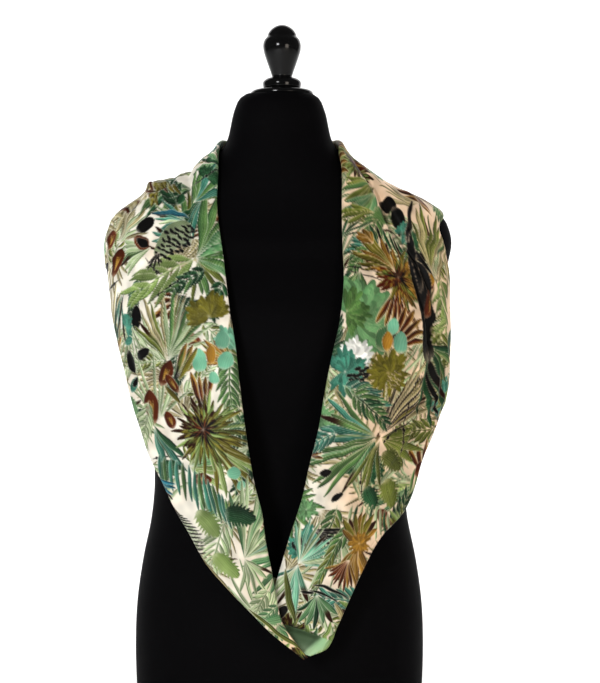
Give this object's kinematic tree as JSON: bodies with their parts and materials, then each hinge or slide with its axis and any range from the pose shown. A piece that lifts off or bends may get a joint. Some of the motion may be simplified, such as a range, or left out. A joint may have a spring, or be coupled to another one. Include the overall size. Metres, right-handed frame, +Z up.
{
  "type": "loop scarf on a dress form",
  "caption": "Leaf-printed silk loop scarf worn round the neck of a black limbless dress form, with the left band lapped over the right at the chest and a turned knob on the neck.",
  "frame": {"origin": "middle of the dress form's flat base", "axes": "+Z up along the form towards the knob, -Y the way the chest faces, +X towards the picture's right"},
  "size_m": [0.4172, 0.2744, 0.8276],
  "materials": {
    "black_jersey": "matt stretch jersey",
    "black_lacquer": "gloss black lacquer",
    "printed_silk": "soft satin silk printed with leaves in greens, olive and brown on cream"
  },
  "bodies": {
    "root": {"form_body": "black_jersey", "neck_cap": "black_lacquer", "knob": "black_lacquer", "scarf_left": "printed_silk", "scarf_back": "printed_silk", "scarf_right": "printed_silk", "scarf_turn": "printed_silk"}
  },
  "joints": []
}
